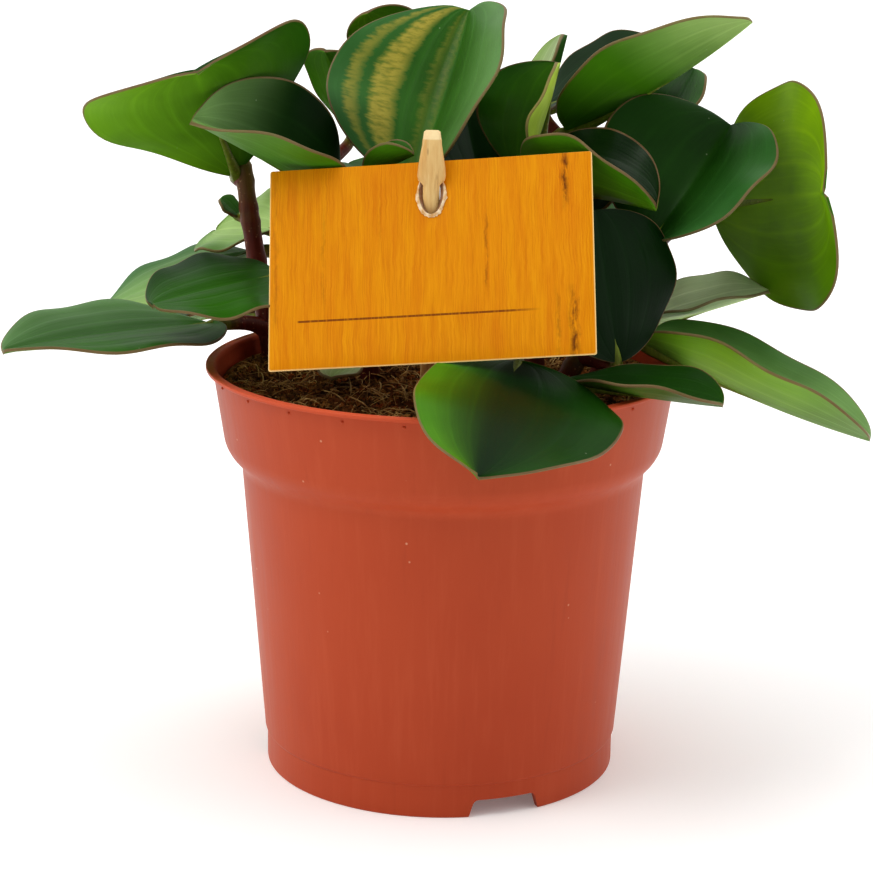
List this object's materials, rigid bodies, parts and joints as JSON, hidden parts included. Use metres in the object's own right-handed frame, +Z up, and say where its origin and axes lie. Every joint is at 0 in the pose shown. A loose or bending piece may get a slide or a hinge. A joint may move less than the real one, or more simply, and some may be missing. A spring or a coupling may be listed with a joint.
{
  "type": "potted peperomia",
  "caption": "Peperomia with broad fleshy leaves on reddish stems, growing in a tapered plastic nursery pot with a blank wood-print card on a wooden stake.",
  "frame": {"origin": "on the ground under the pot's centre", "axes": "+Z up, +X to the viewer's right along the longest extent, -Y towards the side the card faces"},
  "size_m": [0.2304, 0.1867, 0.2091],
  "materials": {
    "leaf": "satin",
    "stem": "satin",
    "pot": "satin",
    "soil": "matte",
    "card": "matte",
    "stake": "matte"
  },
  "bodies": {
    "root": {"pot": "pot", "soil": "soil", "stem_left": "stem", "stem_centre_left": "stem", "stem_centre": "stem", "stem_right": "stem", "stem_far_right": "stem", "stem_front": "stem", "stem_front_right": "stem", "stem_back_left": "stem", "stem_back": "stem", "stem_back_right": "stem", "leaf_upper_left": "leaf", "leaf_small_left": "leaf", "leaf_low_left": "leaf", "leaf_broad_left": "leaf", "leaf_pale_left": "leaf", "leaf_middle_left": "leaf", "leaf_cup_left": "leaf", "leaf_soil_small": "leaf", "leaf_striped": "leaf", "leaf_small_centre": "leaf", "leaf_dark_centre": "leaf", "leaf_cup_centre": "leaf", "leaf_grey_centre": "leaf", "leaf_curled_back": "leaf", "leaf_pale_back": "leaf", "leaf_long_right": "leaf", "leaf_behind_right": "leaf", "leaf_cup_right": "leaf", "leaf_inner_right": "leaf", "leaf_broad_right": "leaf", "leaf_hanging_right": "leaf", "leaf_dark_right": "leaf", "leaf_pale_right": "leaf", "leaf_low_right": "leaf", "leaf_low_small_right": "leaf", "leaf_front": "leaf", "leaf_back_left_low": "leaf", "leaf_back_left_side": "leaf", "leaf_back_left_high": "leaf", "leaf_back_middle_low": "leaf", "leaf_back_middle": "leaf", "leaf_back_high": "leaf", "leaf_back_right_low": "leaf", "leaf_back_right_side": "leaf", "leaf_back_right_middle": "leaf", "leaf_back_right_high": "leaf", "label_card": "card", "label_stake": "stake"}
  },
  "joints": []
}
